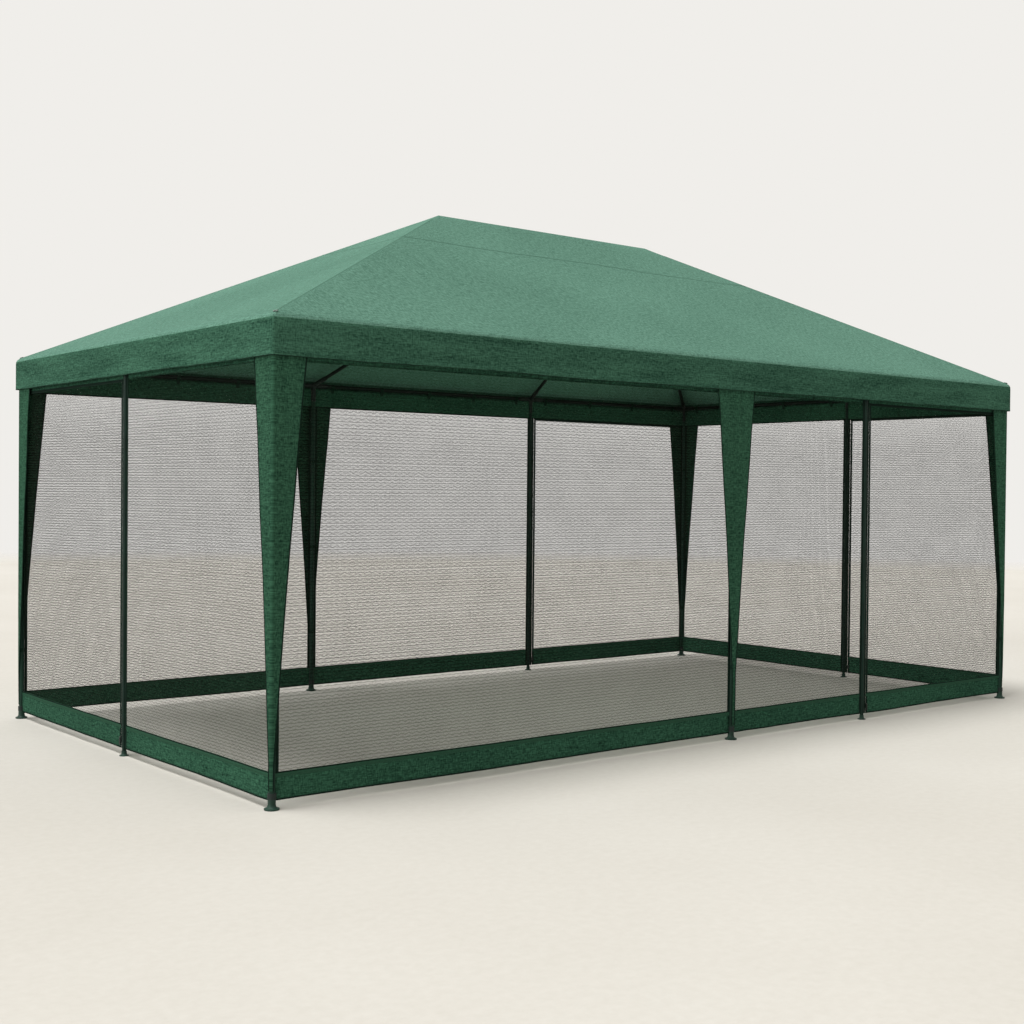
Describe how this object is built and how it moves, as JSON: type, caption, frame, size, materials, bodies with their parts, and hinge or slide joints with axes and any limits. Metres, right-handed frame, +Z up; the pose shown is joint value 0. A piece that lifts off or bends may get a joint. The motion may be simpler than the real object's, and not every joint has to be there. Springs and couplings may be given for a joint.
{
  "type": "screen house",
  "caption": "Long hip-roofed garden shelter on a push-fit steel frame, with netting walls that keep insects out and zipped netting doors that swing open.",
  "frame": {"origin": "on the ground at the centre of the footprint", "axes": "+Z up, +X along the long sides from the left end to the right end, -Y towards the front"},
  "size_m": [5.87, 3.17, 3.123],
  "materials": {
    "leg_tube": "satin",
    "pole_tube": "satin",
    "frame_tube": "satin",
    "foot": "satin",
    "collar": "matte",
    "connector": "matte",
    "canopy_cloth": "matte",
    "cover_cloth": "matte",
    "wall_mesh": "matte",
    "door_mesh": "matte",
    "eyelet": "satin",
    "zip_slider": "satin",
    "zip_pull": "satin"
  },
  "bodies": {
    "frame": {"back_wall_left": "wall_mesh", "back_wall_right": "wall_mesh", "canopy": "canopy_cloth", "canopy_eyelets": "eyelet", "corner_connectors": "connector", "door_pole_back": "pole_tube", "door_pole_feet": "foot", "door_pole_front": "pole_tube", "door_pole_left": "pole_tube", "door_pole_right": "pole_tube", "eave_rail_back_left": "frame_tube", "eave_rail_back_middle": "frame_tube", "eave_rail_back_right": "frame_tube", "eave_rail_front_left": "frame_tube", "eave_rail_front_right": "frame_tube", "eave_rail_left": "frame_tube", "eave_rail_right": "frame_tube", "foot_collars": "collar", "front_wall_left": "wall_mesh", "front_wall_right": "wall_mesh", "hip_rafter_back_left": "frame_tube", "hip_rafter_back_right": "frame_tube", "hip_rafter_front_left": "frame_tube", "hip_rafter_front_right": "frame_tube", "left_wall": "wall_mesh", "leg_back_left": "leg_tube", "leg_back_middle": "leg_tube", "leg_back_right": "leg_tube", "leg_cover_back_left": "cover_cloth", "leg_cover_back_middle": "cover_cloth", "leg_cover_back_right": "cover_cloth", "leg_cover_front_left": "cover_cloth", "leg_cover_front_middle": "cover_cloth", "leg_cover_front_right": "cover_cloth", "leg_feet": "foot", "leg_front_left": "leg_tube", "leg_front_middle": "leg_tube", "leg_front_right": "leg_tube", "pole_clamps": "connector", "rafter_back": "frame_tube", "rafter_back_pole": "frame_tube", "rafter_front": "frame_tube", "ridge_connectors": "connector", "ridge_tube_left": "frame_tube", "ridge_tube_right": "frame_tube", "right_wall": "wall_mesh", "side_connectors": "connector"},
    "front_door": {"front_door": "door_mesh"},
    "front_zip_slider": {"front_zip_slider": "zip_slider"},
    "front_zip_pull": {"front_zip_pull": "zip_pull"},
    "back_door": {"back_door": "door_mesh"},
    "back_zip_slider": {"back_zip_slider": "zip_slider"},
    "back_zip_pull": {"back_zip_pull": "zip_pull"},
    "left_door": {"left_door": "door_mesh"},
    "left_zip_slider": {"left_zip_slider": "zip_slider"},
    "left_zip_pull": {"left_zip_pull": "zip_pull"},
    "right_door": {"right_door": "door_mesh"},
    "right_zip_slider": {"right_zip_slider": "zip_slider"},
    "right_zip_pull": {"right_zip_pull": "zip_pull"}
  },
  "joints": [
    {"name": "front_door_swing", "type": "hinge", "parent": "frame", "child": "front_door", "pos_m": [2.701, -1.55, 0], "axis": [0, 0, 1], "range_deg": [0, 110]},
    {"name": "front_zip_slide", "type": "slide", "parent": "front_door", "child": "front_zip_slider", "axis": [0, 0, 1], "range_m": [0, 1.88]},
    {"name": "front_pull_swing", "type": "hinge", "parent": "front_zip_slider", "child": "front_zip_pull", "pos_m": [1.377, -1.5572, 0.088], "axis": [-1, 0, 0], "range_deg": [0, 140]},
    {"name": "back_door_swing", "type": "hinge", "parent": "frame", "child": "back_door", "pos_m": [2.701, 1.55, 0], "axis": [0, 0, -1], "range_deg": [0, 110]},
    {"name": "back_zip_slide", "type": "slide", "parent": "back_door", "child": "back_zip_slider", "axis": [0, 0, 1], "range_m": [0, 1.88]},
    {"name": "back_pull_swing", "type": "hinge", "parent": "back_zip_slider", "child": "back_zip_pull", "pos_m": [1.2, 1.5572, 0.088], "axis": [1, 0, 0], "range_deg": [0, 140]},
    {"name": "left_door_swing", "type": "hinge", "parent": "frame", "child": "left_door", "pos_m": [-2.9, 1.351, 0], "axis": [0, 0, -1], "range_deg": [0, 110]},
    {"name": "left_zip_slide", "type": "slide", "parent": "left_door", "child": "left_zip_slider", "axis": [0, 0, 1], "range_m": [0, 1.88]},
    {"name": "left_pull_swing", "type": "hinge", "parent": "left_zip_slider", "child": "left_zip_pull", "pos_m": [-2.9072, 0.074, 0.088], "axis": [0, 1, 0], "range_deg": [0, 140]},
    {"name": "right_door_swing", "type": "hinge", "parent": "frame", "child": "right_door", "pos_m": [2.9, -1.351, 0], "axis": [0, 0, -1], "range_deg": [0, 110]},
    {"name": "right_zip_slide", "type": "slide", "parent": "right_door", "child": "right_zip_slider", "axis": [0, 0, 1], "range_m": [0, 1.88]},
    {"name": "right_pull_swing", "type": "hinge", "parent": "right_zip_slider", "child": "right_zip_pull", "pos_m": [2.9072, -0.242, 0.088], "axis": [0, -1, 0], "range_deg": [0, 140]}
  ]
}
